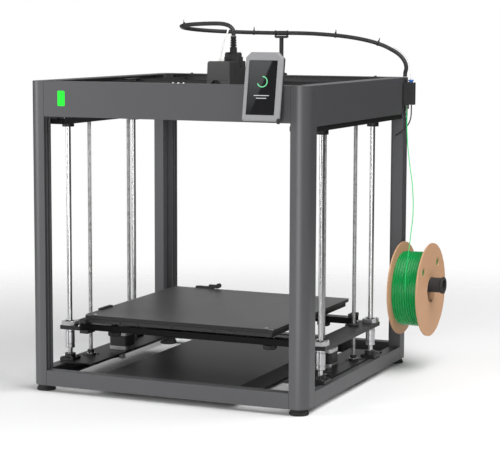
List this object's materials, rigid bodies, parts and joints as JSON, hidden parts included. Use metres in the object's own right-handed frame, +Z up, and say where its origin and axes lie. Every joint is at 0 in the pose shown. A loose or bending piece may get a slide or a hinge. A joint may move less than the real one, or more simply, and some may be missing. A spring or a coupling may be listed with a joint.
{
  "type": "fdm printer",
  "caption": "Large open cube-frame filament printer: bed on rods and lead screws, moving head, tilting touch screen, side spool and overhead cable loop.",
  "frame": {"origin": "on the floor under the centre of the bounding box of the machine with its spool and screen, cords left out", "axes": "+X to the machine's right (spool side), +Y to its back, +Z up"},
  "size_m": [0.687, 0.6586, 0.7292],
  "materials": {
    "frame_paint": "fine matt powder coat, dark grey",
    "black_steel": "black satin coat on folded steel",
    "polished_steel": "ground and polished steel",
    "black_aluminium": "black anodised extrusion",
    "bare_aluminium": "machined satin aluminium",
    "black_plastic": "moulded, fine matt texture",
    "grey_plastic": "moulded, satin grey",
    "print_surface": "textured dark print coating on spring steel",
    "rubber": "moulded black rubber",
    "card": "pressed brown card, matt",
    "green_filament": "smooth green filament",
    "white_tube": "milky slippery tube",
    "motor_steel": "laminated steel body, black, with machined ends",
    "cover_steel": "black satin sheet steel",
    "cable_black": "braided black sleeve"
  },
  "bodies": {
    "frame": {"base_beam_front": "frame_paint", "base_beam_left": "frame_paint", "base_beam_rear": "frame_paint", "base_beam_right": "frame_paint", "base_plate_left": "black_steel", "base_plate_right": "black_steel", "cable_post": "black_plastic", "cable_sleeve": "cable_black", "column_front_left": "frame_paint", "column_front_right": "frame_paint", "column_rear_left": "frame_paint", "column_rear_right": "frame_paint", "electronics_cover": "cover_steel", "feed_tube_rear": "white_tube", "filament_sensor": "black_plastic", "filament_strand": "green_filament", "foot_front_left": "rubber", "foot_front_right": "rubber", "foot_rear_left": "rubber", "foot_rear_right": "rubber", "front_fascia": "frame_paint", "power_inlet": "black_plastic", "rear_beam": "frame_paint", "rod_front_left": "polished_steel", "rod_front_right": "polished_steel", "rod_rear_left": "polished_steel", "rod_rear_right": "polished_steel", "screen_bracket": "black_steel", "sensor_lead": "cable_black", "side_panel_left": "frame_paint", "side_panel_right": "frame_paint", "spool_holder": "black_plastic", "top_rail_left": "black_steel", "top_rail_right": "black_steel", "xy_motor_left": "motor_steel", "xy_motor_right": "motor_steel", "z_motor_left": "motor_steel", "z_motor_right": "motor_steel"},
    "bed": {"bed_arm_left": "black_steel", "bed_arm_right": "black_steel", "bearing_front_left": "bare_aluminium", "bearing_front_right": "bare_aluminium", "bearing_rear_left": "bare_aluminium", "bearing_rear_right": "bare_aluminium", "cross_beam_front": "black_aluminium", "cross_beam_rear": "black_aluminium", "heated_bed": "bare_aluminium", "print_sheet": "print_surface"},
    "gantry": {"x_beam": "black_aluminium"},
    "head": {"head_cover": "black_plastic", "hotend": "polished_steel", "feed_tube_head": "white_tube"},
    "screen": {"screen_housing": "grey_plastic"},
    "reel": {"spool": "card", "filament_winding": "green_filament"},
    "rocker": {"power_rocker": "black_plastic"},
    "screw_front_left": {"lead_screw_front_left": "polished_steel"},
    "screw_front_right": {"lead_screw_front_right": "polished_steel"},
    "screw_rear_left": {"lead_screw_rear_left": "polished_steel"},
    "screw_rear_right": {"lead_screw_rear_right": "polished_steel"}
  },
  "joints": [
    {"name": "bed_lift", "type": "slide", "parent": "frame", "child": "bed", "axis": [0, 0, 1], "range_m": [-0.01, 0.393]},
    {"name": "gantry_travel", "type": "slide", "parent": "frame", "child": "gantry", "axis": [0, 1, 0], "range_m": [-0.217, 0.183]},
    {"name": "head_travel", "type": "slide", "parent": "gantry", "child": "head", "axis": [1, 0, 0], "range_m": [-0.193, 0.207]},
    {"name": "screen_tilt", "type": "hinge", "parent": "frame", "child": "screen", "pos_m": [0.1645, -0.31571, 0.552], "axis": [1, 0, 0], "range_deg": [-2, 10]},
    {"name": "reel_spin", "type": "hinge", "parent": "frame", "child": "reel", "pos_m": [0.2825, 0.23129, 0.171], "axis": [1, 0, 0], "continuous": true},
    {"name": "power_switch", "type": "hinge", "parent": "frame", "child": "rocker", "pos_m": [0.1075, 0.29869, 0.02775], "axis": [1, 0, 0], "range_deg": [0, 14]},
    {"name": "screw_front_left_turn", "type": "hinge", "parent": "frame", "child": "screw_front_left", "pos_m": [-0.3082, -0.11641, 0.3], "axis": [0, 0, 1], "range_deg": [-17690, 455]},
    {"name": "screw_front_right_turn", "type": "hinge", "parent": "frame", "child": "screw_front_right", "pos_m": [0.2072, -0.11641, 0.3], "axis": [0, 0, 1], "range_deg": [-17690, 455]},
    {"name": "screw_rear_left_turn", "type": "hinge", "parent": "frame", "child": "screw_rear_left", "pos_m": [-0.3082, 0.05509, 0.3], "axis": [0, 0, 1], "range_deg": [-17690, 455]},
    {"name": "screw_rear_right_turn", "type": "hinge", "parent": "frame", "child": "screw_rear_right", "pos_m": [0.2072, 0.05509, 0.3], "axis": [0, 0, 1], "range_deg": [-17690, 455]}
  ],
  "couplings": [
    {"joint": "screw_front_left_turn", "follows": "bed_lift", "rad_per_m": -785.4},
    {"joint": "screw_front_right_turn", "follows": "bed_lift", "rad_per_m": -785.4},
    {"joint": "screw_rear_left_turn", "follows": "bed_lift", "rad_per_m": -785.4},
    {"joint": "screw_rear_right_turn", "follows": "bed_lift", "rad_per_m": -785.4}
  ]
}
